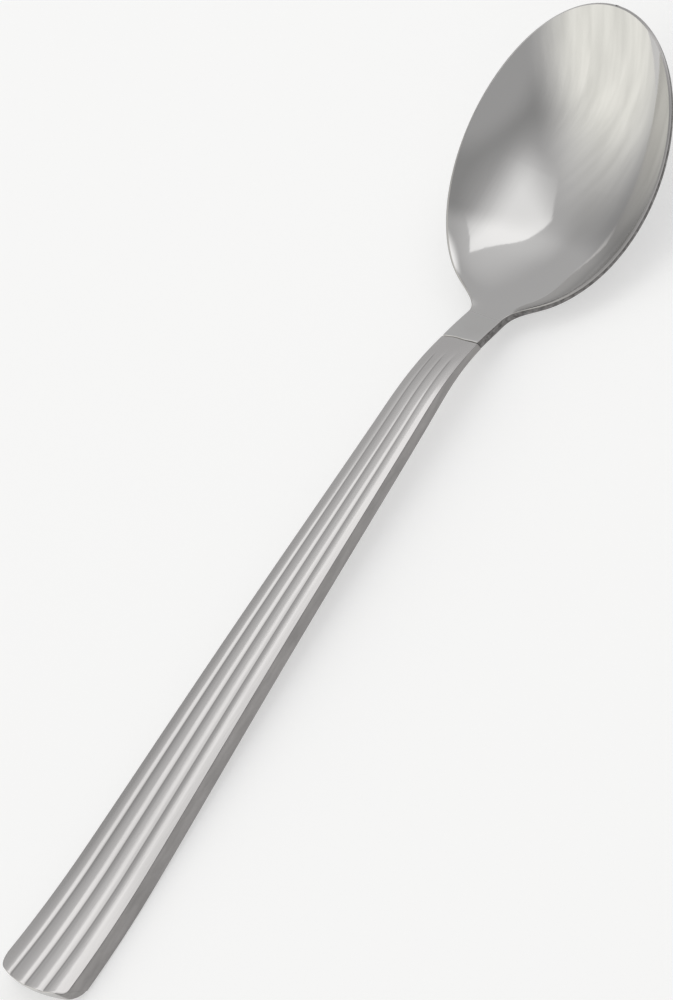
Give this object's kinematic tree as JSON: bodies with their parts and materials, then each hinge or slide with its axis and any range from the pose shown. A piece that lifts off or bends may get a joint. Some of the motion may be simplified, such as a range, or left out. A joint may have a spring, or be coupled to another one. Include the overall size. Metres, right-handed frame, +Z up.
{
  "type": "tablespoon",
  "caption": "Steel tablespoon: a polished oval bowl with a short plain neck, and a satin reeded handle that widens towards its end. For eating, stirring and serving.",
  "frame": {"origin": "on the table, under the middle of the spoon's overall length and width", "axes": "+X from the handle's end to the bowl's tip, +Y across the spoon, +Z up out of the bowl"},
  "size_m": [0.208, 0.0458, 0.0225],
  "materials": {
    "polished_steel": "polished, with faint straight polishing marks",
    "satin_steel": "satin, brushed along the reeds"
  },
  "bodies": {
    "root": {"bowl": "polished_steel", "handle": "satin_steel"}
  },
  "joints": []
}
